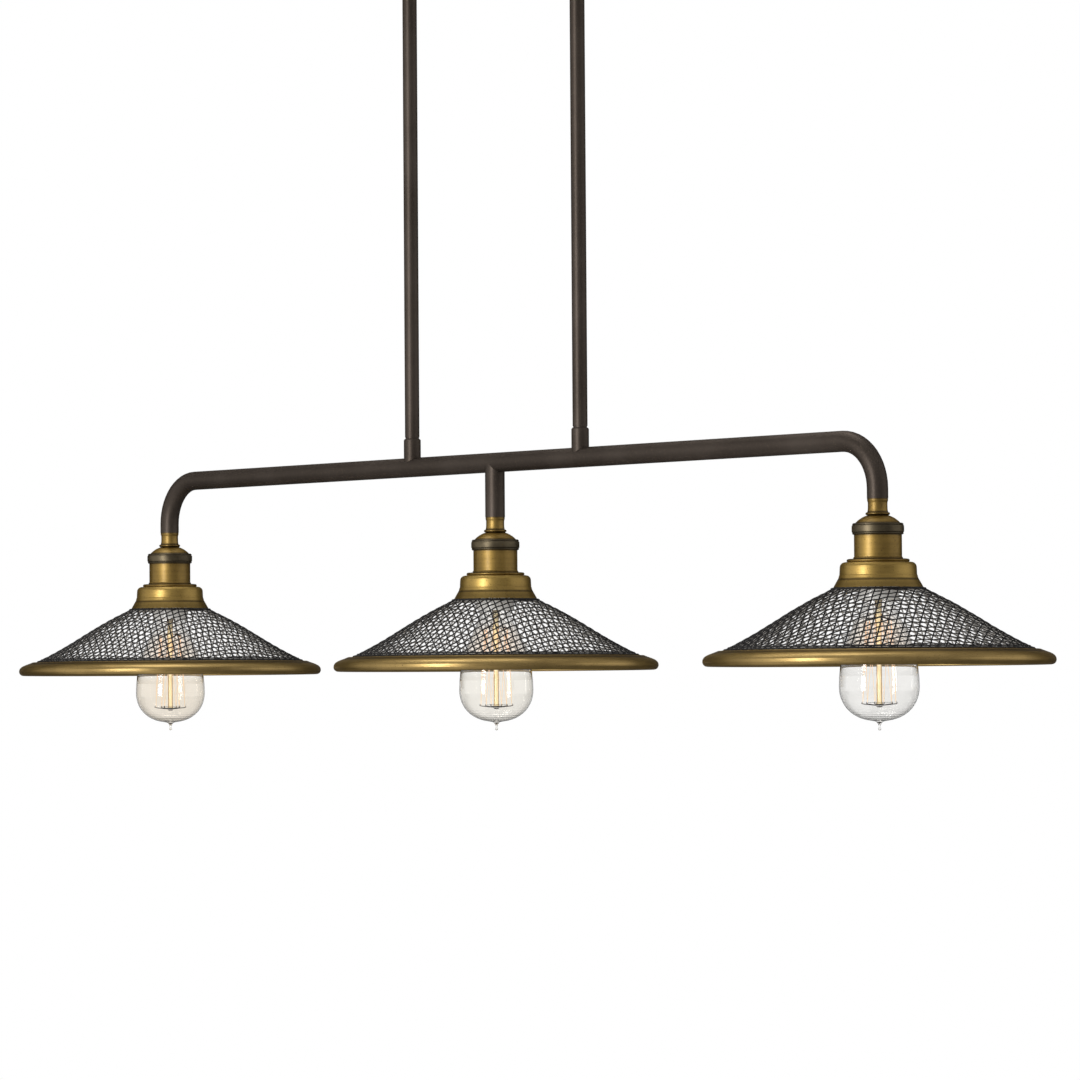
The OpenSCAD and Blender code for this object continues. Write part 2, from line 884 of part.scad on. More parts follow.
module shade_cup(side) {
    r = cup_d / 2;
    path = concat(
        [[insulator_hole_r, z_cup]],
        arc([r - cup_shoulder_r, z_cup - cup_shoulder_r], cup_shoulder_r, 90, 0, 6),
        curve([
            [r + 0.3, z_cup - 0.5 * cup_h],
            [r + 0.8, z_hem + hem_h + 3],
            [r + 0.9, z_hem + hem_h + 0.5],
            [r + 1.6, z_hem + hem_h]
        ], 6),
        [[hem_d / 2 - 0.4, z_hem + 0.8], [hem_d / 2, z_hem]]
    );
    color(brass)
        at_lamp(side)
            difference() {
                turned(sheet(path, -shade_wall));
                translate([0, 0, z_hem - 2 * overshoot])
                    cylinder(d = 2 * hem_d, h = 2 * overshoot);
            }
}

// The mesh follows a slightly S-shaped slope from under the rim's lip up to the cup's hem
function mesh_profile() =
    let (
        half = mesh_wire_w / 2,
        foot = [shade_d / 2 - rim_w, z_lip - (shade_wall + mesh_gap + half) / cos(foot_slope)],
        head = [hem_d / 2 - 0.6, z_hem - half - fit_gap],
        span = norm(head - foot) * mesh_reach
    )
    [foot, foot + span * polar(1, 180 - foot_slope), head - span * polar(1, 180 - head_slope), head];

function mesh_place(row) = row / mesh_rows * (1 + 0.4 * (1 - row / mesh_rows));

// A point of the mesh's middle surface, and the same point moved out by a distance
function mesh_section(row) = cubic(mesh_profile(), mesh_place(row));

function mesh_normal(row) =
    let (slope = unit(cubic(mesh_profile(), mesh_place(row) + 0.01) - cubic(mesh_profile(), mesh_place(row) - 0.01)))
    [slope[1], -slope[0]];

function around(point, angle) = [point[0] * cos(angle), point[0] * sin(angle), point[1]];

function crossing_angle(row, k) = (k + (row % 2) / 2) * 360 / mesh_wires;

// Corners of a window about its centre, drawn in so that a wire of even width is left round it
function window(corners) =
    let (
        centre = [for (axis = [0:2]) sum([for (corner = corners) corner[axis]]) / len(corners)],
        inset = min([for (k = [0:len(corners) - 1]) edge_distance(centre, corners[k], corners[(k + 1) % len(corners)])])
    )
    [for (corner = corners) centre + (corner - centre) * (1 - mesh_wire_w / 2 / inset)];

function sum(list) = list * [for (value = list) 1];

function edge_distance(point, from, to) = norm(cross(point - from, unit(to - from)));

mesh_full_cells = [
    for (row = [1:mesh_rows - 1])
        for (k = [0:mesh_wires - 1])
            let (apex = row % 2 == 0 ? k : k + 1)
            [[row - 1, apex], [row, k + 1], [row + 1, apex], [row, k]]
];
mesh_end_cells = [
    for (k = [0:mesh_wires - 1])
        for (foot = [true, false])
            foot
                ? [[0, k], [0, k + 1], [1, k]]
                : [[mesh_rows - 1, mesh_rows % 2 == 0 ? k : k + 1], [mesh_rows, k + 1], [mesh_rows, k]]
];

// Plain hems run beyond the first and last rows of crossings, as rows -1 and mesh_rows + 1
function hem_shift(row) =
    row < 0 ? foot_hem * [cos(foot_slope), -sin(foot_slope)]
    : row > mesh_rows ? head_hem * [-cos(head_slope), sin(head_slope)]
    : [0, 0];

function mesh_point(row, k, lift) =
    let (held = min(max(row, 0), mesh_rows))
    around(mesh_section(held) + hem_shift(row) + lift * mesh_normal(held), crossing_angle(held, k));

function mesh_surface(lift) =
    [for (row = [-1:mesh_rows + 1]) for (k = [0:mesh_wires - 1]) mesh_point(row, k, lift)];

function mesh_window(cell) = window([for (corner = cell) mesh_point(corner[0], corner[1], 0)]);

// Two triangles for a four-sided face
function two(a, b, c, d) = [[a, b, c], [a, c, d]];

module shade_mesh(side) {
    half = mesh_wire_w / 2;
    points = concat(
        mesh_surface(half),
        mesh_surface(-half),
        [for (cell = mesh_full_cells) each mesh_window(cell)],
        [for (cell = mesh_end_cells) each mesh_window(cell)]
    );
    inner = (mesh_rows + 3) * mesh_wires;
    windows = 2 * inner;
    end_windows = windows + 4 * len(mesh_full_cells);
    function id(corner) = (corner[0] + 1) * mesh_wires + corner[1] % mesh_wires;
    function wires(cells, start) = [
        for (c = [0:len(cells) - 1])
            let (size = len(cells[c]))
            for (k = [0:size - 1])
                let (
                    a = id(cells[c][k]),
                    b = id(cells[c][(k + 1) % size]),
                    near = start + size * c + k,
                    far = start + size * c + (k + 1) % size
                )
                each concat(two(a, near, far, b), two(inner + a, inner + b, far, near))
    ];
    hems = [
        for (k = [0:mesh_wires - 1])
            let (
                foot = [id([-1, k]), id([-1, k + 1]), id([0, k + 1]), id([0, k])],
                head = [id([mesh_rows, k]), id([mesh_rows, k + 1]), id([mesh_rows + 1, k + 1]), id([mesh_rows + 1, k])]
            )
            each concat(
                two(foot[0], foot[3], foot[2], foot[1]),
                two(inner + foot[0], inner + foot[1], inner + foot[2], inner + foot[3]),
                two(foot[0], foot[1], inner + foot[1], inner + foot[0]),
                two(head[0], head[3], head[2], head[1]),
                two(inner + head[0], inner + head[1], inner + head[2], inner + head[3]),
                two(head[2], head[3], inner + head[3], inner + head[2])
            )
    ];
    color("#26221f")
        at_lamp(side)
            polyhedron(points, concat(wires(mesh_full_cells, windows), wires(mesh_end_cells, end_windows), hems));
}

module shade_rim(side) {
    r = shade_d / 2;
    lip_r = r - rim_w;
    roll = [r - rim_roll_r, z_rim + rim_roll_r];
    curl_r = 1.6;
    path = concat(
        curve([
            [lip_r, z_lip],
            [lip_r, z_lip] + 0.45 * rim_w * [1, -tan(foot_slope)],
            [r, z_rim + 0.74 * rim_h],
            [r, z_rim + rim_roll_r]
        ], 10),
        arc(roll, rim_roll_r, -15, -90, 5),
        arc([r - rim_roll_r - 2.4, z_rim + curl_r], curl_r, -90, -180, 4)
    );
    color(brass)
        at_lamp(side)
            turned(sheet(path, -shade_wall));
}

// Bulbs

module bulb_base(side) {
    r = base_d / 2;
    path = [
        [0, z_contact],
        [3.2, z_contact],
        [4.4, z_contact - 0.9],
        [5, z_contact - 2.4],
        [r - 2.2, z_contact - 4.6],
        [r - 0.4, z_contact - 6.6],
        [r, z_contact - 8.4],
        [r, z_base_end]
    ];
    color("#b08a4a")
        at_lamp(side)
            turned(sheet(path, -base_wall));
}

// Outline of the glass from its neck down to where the drawn tip begins
function glass_path() =
    let (
        r = bulb_d / 2,
        neck_z = z_base_end - 1,
        drop = z_widest - neck_z
    )
    concat(
        [[glass_neck_r, z_glass]],
        curve([
            [glass_neck_r, neck_z],
            [glass_neck_r + 0.7, neck_z + 0.22 * drop],
            [r, neck_z + 0.4 * drop],
            [r, z_widest]
        ], 14),
        curve([
            [r, z_widest - 0.01],
            [r, z_widest - 0.5 * bulb_bottom_h],
            [0.72 * r, z_widest - 0.93 * bulb_bottom_h],
            [0.2 * r, z_bulb_end]
        ], 12)
    );

function glass_tip() = concat(
    curve([
        [0.08 * bulb_d, z_bulb_end - 0.2],
        [0.04 * bulb_d, z_bulb_end - 0.5],
        [1.2, z_bulb_end - 0.2 * bulb_tip_h],
        [0.8, z_bulb_end - 0.6 * bulb_tip_h]
    ], 8),
    arc([0, z_tip + 1.3], 1.3, 50, -90, 6)
);

module bulb_glass(side) {
    outline = glass_path();
    count = len(outline);
    color("#f4ead2", 0.35)
        at_lamp(side)
            turned(concat(
                outline,
                glass_tip(),
                [[0, z_bulb_end + 1.5 * glass_wall]],
                reversed([for (k = [0:count - 1]) outline[k] - glass_wall * path_normal(outline, k)])
            ));
}

// Glass stem, two wire spiders and the zigzag filament strung between their hooks
module filament(side) {
    stem_r = stem_d / 2;
    neck_r = glass_neck_r - glass_wall;
    z_top = z_cage + cage_h;
    function hook(k) = k % 2 == 0
        ? [cage_d / 2 * cos(k * 360 / strands), cage_d / 2 * sin(k * 360 / strands), z_cage]
        : [cage_top_r * cos(k * 360 / strands), cage_top_r * sin(k * 360 / strands), z_top];
    color("#e9b25c")
        at_lamp(side) {
            turned([
                [0, z_glass + 1],
                [glass_neck_r - 0.2, z_glass + 1],
                [glass_neck_r - 0.2, z_glass],
                [neck_r - 0.8, z_glass],
                [0.4 * neck_r, z_glass - 12],
                [stem_r + 0.6, z_top + 2],
                [stem_r, z_top - 2],
                [stem_r, z_cage - 0.8],
                [stem_r - 0.8, z_cage - 1.6],
                [0, z_cage - 1.6]
            ]);
            for (k = [0:strands - 1]) {
                rod_between(hook(k), hook(k + 1), strand_d);
                rod_between([0, 0, hook(k)[2]], hook(k), 0.8 * strand_d);
                translate(hook(k))
                    sphere(d = hook_d, $fn = 24);
            }
        }
}

ceiling_crossbar();
ground_screw();
canopy_studs();
stud_locknuts();
canopy_cover();
canopy_ball_nuts();
terminal_block();
canopy_leads();
swivel_hubs();
swivel_seat(-1);  // swivel_seat_left
swivel_seat(1);  // swivel_seat_right
swivel_ball(-1);  // swivel_ball_left
swivel_ball(1);  // swivel_ball_right
upper_rod(-1);  // upper_rod_left
upper_rod(1);  // upper_rod_right
rod_joiners();
lower_rod(-1);  // lower_rod_left
lower_rod(1);  // lower_rod_right
rod_coupling(-1);  // rod_coupling_left
rod_coupling(1);  // rod_coupling_right
bent_tube();
middle_drop();
lamp_cables();
holder_neck(-1);  // holder_neck_left
holder_neck(0);  // holder_neck_middle
holder_neck(1);  // holder_neck_right
holder_cap(-1);  // holder_cap_left
holder_cap(0);  // holder_cap_middle
holder_cap(1);  // holder_cap_right
holder_collar(-1);  // holder_collar_left
holder_collar(0);  // holder_collar_middle
holder_collar(1);  // holder_collar_right
holder_shell(-1);  // holder_shell_left
holder_shell(0);  // holder_shell_middle
holder_shell(1);  // holder_shell_right
insulator(-1);  // insulator_left
insulator(0);  // insulator_middle
insulator(1);  // insulator_right
socket_contacts();
clamp_washers();
shade_retainers();
shade_cup(-1);  // shade_cup_left
shade_cup(0);  // shade_cup_middle
shade_cup(1);  // shade_cup_right
shade_mesh(-1);  // shade_mesh_left
shade_mesh(0);  // shade_mesh_middle
shade_mesh(1);  // shade_mesh_right
shade_rim(-1);  // shade_rim_left
shade_rim(0);  // shade_rim_middle
shade_rim(1);  // shade_rim_right
bulb_base(-1);  // bulb_base_left
bulb_base(0);  // bulb_base_middle
bulb_base(1);  // bulb_base_right
bulb_glass(-1);  // bulb_glass_left
bulb_glass(0);  // bulb_glass_middle
bulb_glass(1);  // bulb_glass_right
filament(-1);  // filament_left
filament(0);  // filament_middle
filament(1);  // filament_right
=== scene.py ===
import math

import bpy
import numpy as np
from mathutils import Matrix, Vector


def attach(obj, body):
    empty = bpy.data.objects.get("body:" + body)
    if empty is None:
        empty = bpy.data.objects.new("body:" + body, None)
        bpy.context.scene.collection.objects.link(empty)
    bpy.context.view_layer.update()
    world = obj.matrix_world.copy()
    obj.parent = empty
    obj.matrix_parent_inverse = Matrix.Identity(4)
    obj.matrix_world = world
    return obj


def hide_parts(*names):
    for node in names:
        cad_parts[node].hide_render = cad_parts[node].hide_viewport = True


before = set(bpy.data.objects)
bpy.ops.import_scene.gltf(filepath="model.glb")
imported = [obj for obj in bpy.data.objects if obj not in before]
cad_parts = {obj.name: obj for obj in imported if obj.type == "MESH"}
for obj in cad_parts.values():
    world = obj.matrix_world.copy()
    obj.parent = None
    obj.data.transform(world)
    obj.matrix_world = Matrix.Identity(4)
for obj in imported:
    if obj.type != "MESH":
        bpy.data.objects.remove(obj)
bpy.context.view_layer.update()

# Camera
# A long lens from the photograph's place: to the front right of the row of lamps and a little below it.
# It sees the three lamps, the bent tube and the lower part of the two rods.
azimuth, elevation, roll = math.radians(48.79), math.radians(-1.8), math.radians(-0.4)
aim = Vector((0.0585, 0, -0.6320))
distance = 4.3
toward_camera = Vector((
    math.sin(azimuth) * math.cos(elevation),
    -math.cos(azimuth) * math.cos(elevation),
    math.sin(elevation),
))
camera_right = Vector((math.cos(azimuth), math.sin(azimuth), 0))
camera_up = toward_camera.cross(camera_right)
rolled_right = camera_right * math.cos(roll) + camera_up * math.sin(roll)
rolled_up = camera_up * math.cos(roll) - camera_right * math.sin(roll)
bpy.ops.object.camera_add()
camera = bpy.context.object
camera.name = "camera"
camera.matrix_world = Matrix.Translation(aim + toward_camera * distance) @ Matrix(
    (rolled_right, rolled_up, toward_camera)).transposed().to_4x4()
camera.data.lens = 168.0
camera.data.sensor_width = 36
camera.data.clip_end = 60
bpy.context.scene.camera = camera
bpy.context.scene.view_settings.view_transform = "Standard"


# Lights and white surroundings
# A tall soft light stands to the camera's left and a weaker one hangs above, as in a product studio. The
# surroundings are white to the eye, in reflections and through glass, and dimmer as a light. Grey walls,
# a ceiling and dark cloths stand out of view and show only in the reflections of metal and glass.
def studio_place(away, sideways, above):
    """A place in the studio, counted from the lamps: toward the camera, to its right, and up."""
    return aim + toward_camera * away + camera_right * sideways + Vector((0, 0, above))


def stand_softbox(name, place, width, height, watts):
    bpy.ops.object.light_add(type="AREA", location=place)
    light = bpy.context.object
    light.name = name
    light.rotation_euler = (place - aim).to_track_quat("Z", "Y").to_euler()
    light.data.shape = "RECTANGLE"
    light.data.size, light.data.size_y = width, height
    light.data.energy = watts


stand_softbox(
    "key_softbox", studio_place(away=1.9, sideways=-1.7, above=0.15), width=0.55, height=1.9, watts=49)
stand_softbox(
    "overhead_softbox", studio_place(away=-0.6, sideways=-0.4, above=2.2), width=1.4, height=1.4, watts=22)


class Field:
    """A socket of a shader, so that sums of fields add the Math nodes they need."""

    def __init__(self, tree, socket=None):
        self.tree = tree
        self.socket = socket

    def add(self, kind, settings, inputs, output=0):
        """Any node: its type, its settings, and the values or fields of its sockets."""
        node = self.tree.nodes.new(kind)
        for name, value in settings.items():
            setattr(node, name, value)
        for name, value in inputs.items():
            if isinstance(value, Field):
                self.tree.links.new(value.socket, node.inputs[name])
            else:
                node.inputs[name].default_value = value
        return Field(self.tree, node.outputs[output])

    def calculate(self, operation, *values):
        return self.add("ShaderNodeMath", {"operation": operation}, dict(enumerate(values)))

    def __add__(self, other):
        return self.calculate("ADD", self, other)

    def __sub__(self, other):
        return self.calculate("SUBTRACT", self, other)

    def __rsub__(self, other):
        return self.calculate("SUBTRACT", other, self)

    def __mul__(self, other):
        return self.calculate("MULTIPLY", self, other)

    def __pow__(self, other):
        return self.calculate("POWER", self, other)

    __radd__ = __add__
    __rmul__ = __mul__

    def rise(self, low, high):
        """0 below low, 1 above high, smooth between them."""
        return self.add("ShaderNodeMapRange", {"interpolation_type": "SMOOTHSTEP"},
                        {"Value": self, "From Min": low, "From Max": high})

    def mix(self, first, second):
        """The first colour where the field is 0 and the second where it is 1."""
        factor_in, first_in, second_in, colour_out = 0, 6, 7, 2
        first, second = (colour if isinstance(colour, Field) else (*colour, 1) for colour in (first, second))
        sockets = {factor_in: self, first_in: first, second_in: second}
        return self.add("ShaderNodeMix", {"data_type": "RGBA"}, sockets, colour_out)

    def vector(self, operation, *others, output="Vector"):
        """Vector Math on this field, with others as the node's further vectors."""
        sockets = dict(enumerate((self, *others)))
        return self.add("ShaderNodeVectorMath", {"operation": operation}, sockets, output)

    def axis(self, number):
        """The x, y or z of a place: axis 0, 1 or 2."""
        return self.add("ShaderNodeSeparateXYZ", {}, {"Vector": self}, number)

    def noise(self, scale, detail=2.0):
        """Noise over the places in this field."""
        return self.add("ShaderNodeTexNoise", {}, {"Vector": self, "Scale": scale, "Detail": detail})

    def bump(self, strength, depth):
        """A surface that seems pushed out where the field is high, with the depth in metres."""
        return self.add("ShaderNodeBump", {}, {"Strength": strength, "Distance": depth, "Height": self})


def new_finish(name, **uniform):
    """A material with uniform values on its shader's own sockets, the shader, and the places on a piece."""
    material = bpy.data.materials.new(name)
    material.use_nodes = True
    shader = material.node_tree.nodes["Principled BSDF"]
    for socket, value in uniform.items():
        shader.inputs[socket.replace("_", " ")].default_value = value
    return material, shader, Field(material.node_tree).add("ShaderNodeTexCoord", {}, {}, "Object")


def stand_grey_wall(name, place, tilt, width, height, grey):
    """A plain grey sheet, out of view: metal and glass reflect it where it hides the white."""
    bpy.ops.mesh.primitive_plane_add(size=1)
    wall = bpy.context.object
    wall.name = name
    wall.data.transform(
        Matrix.Translation(place) @ Matrix.Rotation(azimuth, 4, "Z")
        @ Matrix.Rotation(math.radians(tilt), 4, "X") @ Matrix.Diagonal((width, height, 1, 1)))
    wall.visible_camera = wall.visible_diffuse = False
    wall.visible_shadow = wall.visible_transmission = False
    felt = new_finish(name, Base_Color=(grey, grey, grey, 1), Specular_IOR_Level=0)[0]
    wall.data.materials.append(felt)


upright, flat = 90, 0
stand_grey_wall("wall_behind_camera", studio_place(5.2, 0, 0.6), upright, width=14.0, height=9.0, grey=0.62)
stand_grey_wall("ceiling", studio_place(0, 0, 2.7), flat, width=9.0, height=9.0, grey=0.85)
stand_grey_wall("dark_wall_behind", studio_place(-2.6, 0, 0.3), upright, width=12.0, height=3.6, grey=0.14)
stand_grey_wall("dark_cloth_right", studio_place(0, 3.4, -1.3), flat, width=7.0, height=7.0, grey=0.30)
stand_grey_wall("dark_cloth_behind", studio_place(-4.2, -3.6, -1.3), flat, width=7.0, height=6.8, grey=0.15)

world = bpy.data.worlds.new("studio")
bpy.context.scene.world = world
world.use_nodes = True
world.node_tree.nodes.clear()
air = Field(world.node_tree)
seen = air.add("ShaderNodeLightPath", {}, {}, "Is Camera Ray")
for ray in ("Is Glossy Ray", "Is Transmission Ray"):
    seen = seen.calculate("MAXIMUM", seen, air.add("ShaderNodeLightPath", {}, {}, ray))
as_light, as_seen = 0.55, 1.0
dim = air.add("ShaderNodeBackground", {}, {"Color": (1, 1, 1, 1), "Strength": as_light})
white = air.add("ShaderNodeBackground", {}, {"Color": (1, 1, 1, 1), "Strength": as_seen})
surroundings = air.add("ShaderNodeMixShader", {}, {0: seen, 1: dim, 2: white})
world_output = world.node_tree.nodes.new("ShaderNodeOutputWorld")
world.node_tree.links.new(surroundings.socket, world_output.inputs["Surface"])


# Floor
# A plain pale floor of white paper lies far below the hanging light and takes its soft shadow. To the eye
# it is half a glow of its own, which keeps that shadow pale. Its edge fades into the white surroundings,
# and from underneath it isn't seen.
floor_depth, floor_radius, fade_start, glow_share = -2.3, 6.0, 3.0, 0.5
bpy.ops.mesh.primitive_circle_add(
    vertices=96, radius=floor_radius, fill_type="NGON", location=(0, 0, floor_depth))
floor = bpy.context.object
floor.name = "floor"
paper, shader, place = new_finish("floor_paper", Base_Color=(0.9, 0.9, 0.9, 1), Roughness=0.8)
under = place.add("ShaderNodeNewGeometry", {}, {}, "Backfacing")
from_middle = place.vector("LENGTH", output="Value")
gone = place.calculate("MAXIMUM", under, from_middle.rise(fade_start, floor_radius))
to_eye = glow_share * place.add("ShaderNodeLightPath", {}, {}, "Is Camera Ray")
plain_paper = Field(paper.node_tree, shader.outputs["BSDF"])
glare = place.add("ShaderNodeEmission", {}, {"Color": (1, 1, 1, 1)})
lit_paper = place.add("ShaderNodeMixShader", {}, {0: to_eye, 1: plain_paper, 2: glare})
clear = place.add("ShaderNodeBsdfTransparent", {}, {})
paper_mix = place.add("ShaderNodeMixShader", {}, {0: gone, 1: lit_paper, 2: clear})
paper.node_tree.links.new(paper_mix.socket, paper.node_tree.nodes["Material Output"].inputs["Surface"])
floor.data.materials.append(paper)


# Ceiling crossbar, studs, locknuts, swivel hubs and rod joiners
# Zinc-plated steel. The bar is punched and screwed to the ceiling box, the studs carry the canopy,
# the turned hubs hold the swivels, and the threaded joiners hold the two lengths of each rod together.
def feed(shader, **varying):
    """Links fields to the sockets of a shader."""
    for socket, field in varying.items():
        field.tree.links.new(field.socket, shader.inputs[socket.replace("_", " ")])


def dress(material, *nodes):
    """Puts a finish on nodes of the frame."""
    for node in nodes:
        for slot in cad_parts[node].material_slots:
            slot.material = material


zinc, shader, place = new_finish("zinc_plate", Metallic=1.0)
clouds = place.noise(90, 4)
grain = place.vector("MULTIPLY", (60, 1400, 1400)).noise(1.0)
feed(
    shader,
    Base_Color=clouds.rise(0.35, 0.65).mix((0.50, 0.52, 0.56), (0.62, 0.60, 0.55)),
    Roughness=0.28 + 0.2 * clouds,
    Normal=grain.bump(0.25, 0.0002),
)
dress(zinc, "ceiling_crossbar", "canopy_studs", "stud_locknuts", "swivel_hubs", "rod_joiners")


# Ground screw
# A steel screw dipped in green lacquer, driven into the crossbar for the earth lead.
# The lacquer is thin at the slot's edges and pools a little elsewhere.
green, shader, place = new_finish("ground_lacquer", Metallic=0.4, Roughness=0.35)
pooled = place.noise(420, 3)
feed(
    shader,
    Base_Color=pooled.rise(0.35, 0.6).mix((0.10, 0.30, 0.12), (0.03, 0.18, 0.06)),
    Normal=pooled.bump(0.3, 0.0002),
)
dress(green, "ground_screw")


# Canopy, ball nuts, swivels, rods, couplings, bent tube and middle drop
# Steel and brass with one dark bronze finish: a pressed pan, turned swivels, drawn rods and a bent tube,
# sprayed satin and rubbed back so that a warmer brown shows through in soft patches.
bronze, shader, place = new_finish("dark_bronze", Metallic=0.7, IOR=1.4, Specular_Tint=(0.6, 0.54, 0.5, 1))
patches = place.noise(14, 4)
speckle = place.noise(900, 2)
brown = patches.rise(0.42, 0.72).mix((0.047, 0.037, 0.030), (0.066, 0.053, 0.044))
feed(
    shader,
    Base_Color=speckle.rise(0.55, 0.75).mix(brown, (0.075, 0.058, 0.044)),
    Roughness=0.36 + 0.12 * patches + 0.06 * speckle,
    Normal=speckle.bump(0.35, 0.00012),
)
dress(
    bronze, "canopy_cover", "canopy_ball_nuts", "swivel_seat_left", "swivel_seat_right", "swivel_ball_left",
    "swivel_ball_right", "upper_rod_left", "upper_rod_right", "lower_rod_left", "lower_rod_right",
    "rod_coupling_left", "rod_coupling_right", "bent_tube", "middle_drop",
)


# Terminal block and lamp-holder insulators
# Pressed and glazed porcelain, fired in one piece, with bores for the wires and the screw shell.
# The glaze is glossy, faintly cream, and has a few dark pinholes.
lamp_spacing = 0.465
lamps = {"left": -lamp_spacing, "middle": 0.0, "right": lamp_spacing}


def at_each_lamp(*pieces):
    """The names of these pieces of the frame at the three lamps."""
    return [f"{piece}_{lamp}" for piece in pieces for lamp in lamps]


porcelain, shader, place = new_finish("glazed_porcelain", IOR=1.52, Coat_Roughness=0.06)
flow = place.noise(160, 4)
pinholes = place.noise(1500, 1).rise(0.74, 0.82)
cream = flow.mix((0.88, 0.86, 0.81), (0.93, 0.92, 0.89))
feed(
    shader,
    Base_Color=pinholes.mix(cream, (0.42, 0.37, 0.30)),
    Roughness=0.16 + 0.12 * flow,
    Coat_Weight=0.35 + 0.3 * flow,
    Normal=flow.bump(0.2, 0.0004),
)
dress(porcelain, "terminal_block", *at_each_lamp("insulator"))


# Canopy leads and lamp cables
# Stranded wire in a matt dark jacket, run from the terminal block through the swivels and rods
# and along the tube to the lamp holders.
jacket, shader, place = new_finish("wire_jacket", IOR=1.48)
dust = place.noise(300, 3)
ribs = place.noise(2600, 1)
feed(
    shader,
    Base_Color=dust.rise(0.4, 0.7).mix((0.018, 0.018, 0.019), (0.045, 0.043, 0.040)),
    Roughness=0.45 + 0.2 * dust,
    Normal=ribs.bump(0.3, 0.0001),
)
dress(jacket, "canopy_leads", "lamp_cables")


# Lamp holders: necks, caps, shells and clamp washers
# Brass turned or spun on a lathe and aged: fine rings run round the axis and a darker patina lies in patches;
# painted shade darkens the creases between the parts. The neck screws into the cap, and the cap holds the
# shell.
def round_the_lamp(place):
    """Distance from the lamp's own axis, and height, the same for each of the three lamps."""
    x, y = place.calculate("WRAP", place.axis(0), lamp_spacing / 2, -lamp_spacing / 2), place.axis(1)
    return (x * x + y * y) ** 0.5, place.axis(2)


def turning_marks(radius, height, per_metre, detail):
    """Rings as a lathe leaves them: noise that changes only with radius and height."""
    along = radius.add("ShaderNodeCombineXYZ", {}, {0: radius * per_metre, 1: height * per_metre, 2: 0.0})
    return along.noise(1.0, detail)


def aged_brass(name, bright, worn, patina, roughness, ring_depth, creases=(), shaded_beyond=1.0):
    """Brass with rings from the lathe, patches of patina and a fine speckle.

    It has painted shade in creases at some heights, and painted shade beyond a radius.
    """
    material, shader, place = new_finish(
        name, Metallic=1.0, Specular_Tint=(0.45, 0.38, 0.28, 1), Coat_Weight=0.30, Coat_Roughness=0.3,
        Coat_IOR=1.45)
    radius, height = round_the_lamp(place)
    rings = turning_marks(radius, height, 2200, 3)
    broad_rings = turning_marks(radius, height, 260, 2)
    stain = place.noise(38, 5)
    speckle = place.noise(1100, 2)
    wear = stain.rise(0.35, 0.70) * 0.7 + broad_rings.rise(0.40, 0.70) * 0.4
    aged = place.calculate("MINIMUM", wear, 1.0)
    # Painted shade: beyond this radius, on the downward flare, the colour is pulled towards the patina
    # colour.
    painted_shade = 0.45 * radius.rise(shaded_beyond, shaded_beyond + 0.003)
    for crease in creases:
        # Painted shade: a narrow dark band at each crease height, where shade falls between the parts.
        crease_shade = 0.85 * (1 - place.calculate("ABSOLUTE", height - crease).rise(0.0002, 0.0016))
        painted_shade = place.calculate("MAXIMUM", painted_shade, crease_shade)
    base = painted_shade.mix(aged.mix(bright, worn), patina)
    feed(
        shader,
        Base_Color=speckle.rise(0.58, 0.78).mix(base, patina),
        Roughness=roughness + 0.10 * stain + 0.10 * (rings - 0.5),
        Normal=rings.bump(0.5, ring_depth),
    )
    return material


holder_creases = (-0.6105, -0.6215, -0.6237, -0.6301, -0.6391, -0.6585)
holder_brass = aged_brass(
    "holder_brass", bright=(0.285, 0.182, 0.046), worn=(0.190, 0.119, 0.028), patina=(0.055, 0.034, 0.010),
    roughness=0.43, ring_depth=0.00006, creases=holder_creases)
dress(holder_brass, "clamp_washers", *at_each_lamp("holder_neck", "holder_cap", "holder_shell"))


# Lamp-holder collars and the rings that hold the shades
# Turned brass darkened to bronze, screwed over the joint between cap and shell.
# The two raised bands are rubbed lighter where hands have turned them.
band_foot, band_top = 0.0202, 0.0207
collar_bronze, shader, place = new_finish("collar_bronze", Metallic=0.85, Specular_Tint=(0.7, 0.64, 0.56, 1))
radius, height = round_the_lamp(place)
stain = place.noise(60, 4)
handled = radius.rise(band_foot, band_top) * stain.rise(0.3, 0.6)
feed(
    shader,
    Base_Color=handled.mix((0.060, 0.048, 0.030), (0.112, 0.090, 0.056)),
    Roughness=0.34 + 0.14 * stain,
    Normal=turning_marks(radius, height, 1800, 2).bump(0.4, 0.00006),
)
dress(collar_bronze, "shade_retainers", *at_each_lamp("holder_collar"))


# Socket contacts
# A rolled brass screw shell and a centre contact, pressed into each insulator.
# Bright brass, with faint brown heat tint.
contact_brass, shader, place = new_finish("contact_brass", Metallic=1.0)
tint = place.noise(70, 3)
feed(
    shader,
    Base_Color=tint.rise(0.4, 0.7).mix((0.60, 0.44, 0.20), (0.38, 0.24, 0.10)),
    Roughness=0.24 + 0.15 * tint,
)
dress(contact_brass, "socket_contacts")


# Shade cups and rims
# Spun brass, aged, with painted shade in the crease above the cup's flare and along the rim's lip. The cup
# sits under the clamp washer and its flared hem, darker than the rest by painted shade, covers the top of
# the mesh; the rim is rolled from strip, with its lip over the foot of the mesh.
flare_crease, flare_radius, lip_crease = -0.6748, 0.0312, -0.7319
cup_brass = aged_brass(
    "cup_brass", bright=(0.375, 0.248, 0.066), worn=(0.262, 0.168, 0.042), patina=(0.06, 0.039, 0.011),
    roughness=0.38, ring_depth=0.00007, creases=(flare_crease,), shaded_beyond=flare_radius)
dress(cup_brass, *at_each_lamp("shade_cup"))
rim_brass = aged_brass(
    "rim_brass", bright=(0.36, 0.245, 0.086), worn=(0.255, 0.172, 0.058), patina=(0.085, 0.058, 0.024),
    roughness=0.32, ring_depth=0.00006, creases=(lip_crease,))
dress(rim_brass, *at_each_lamp("shade_rim"))
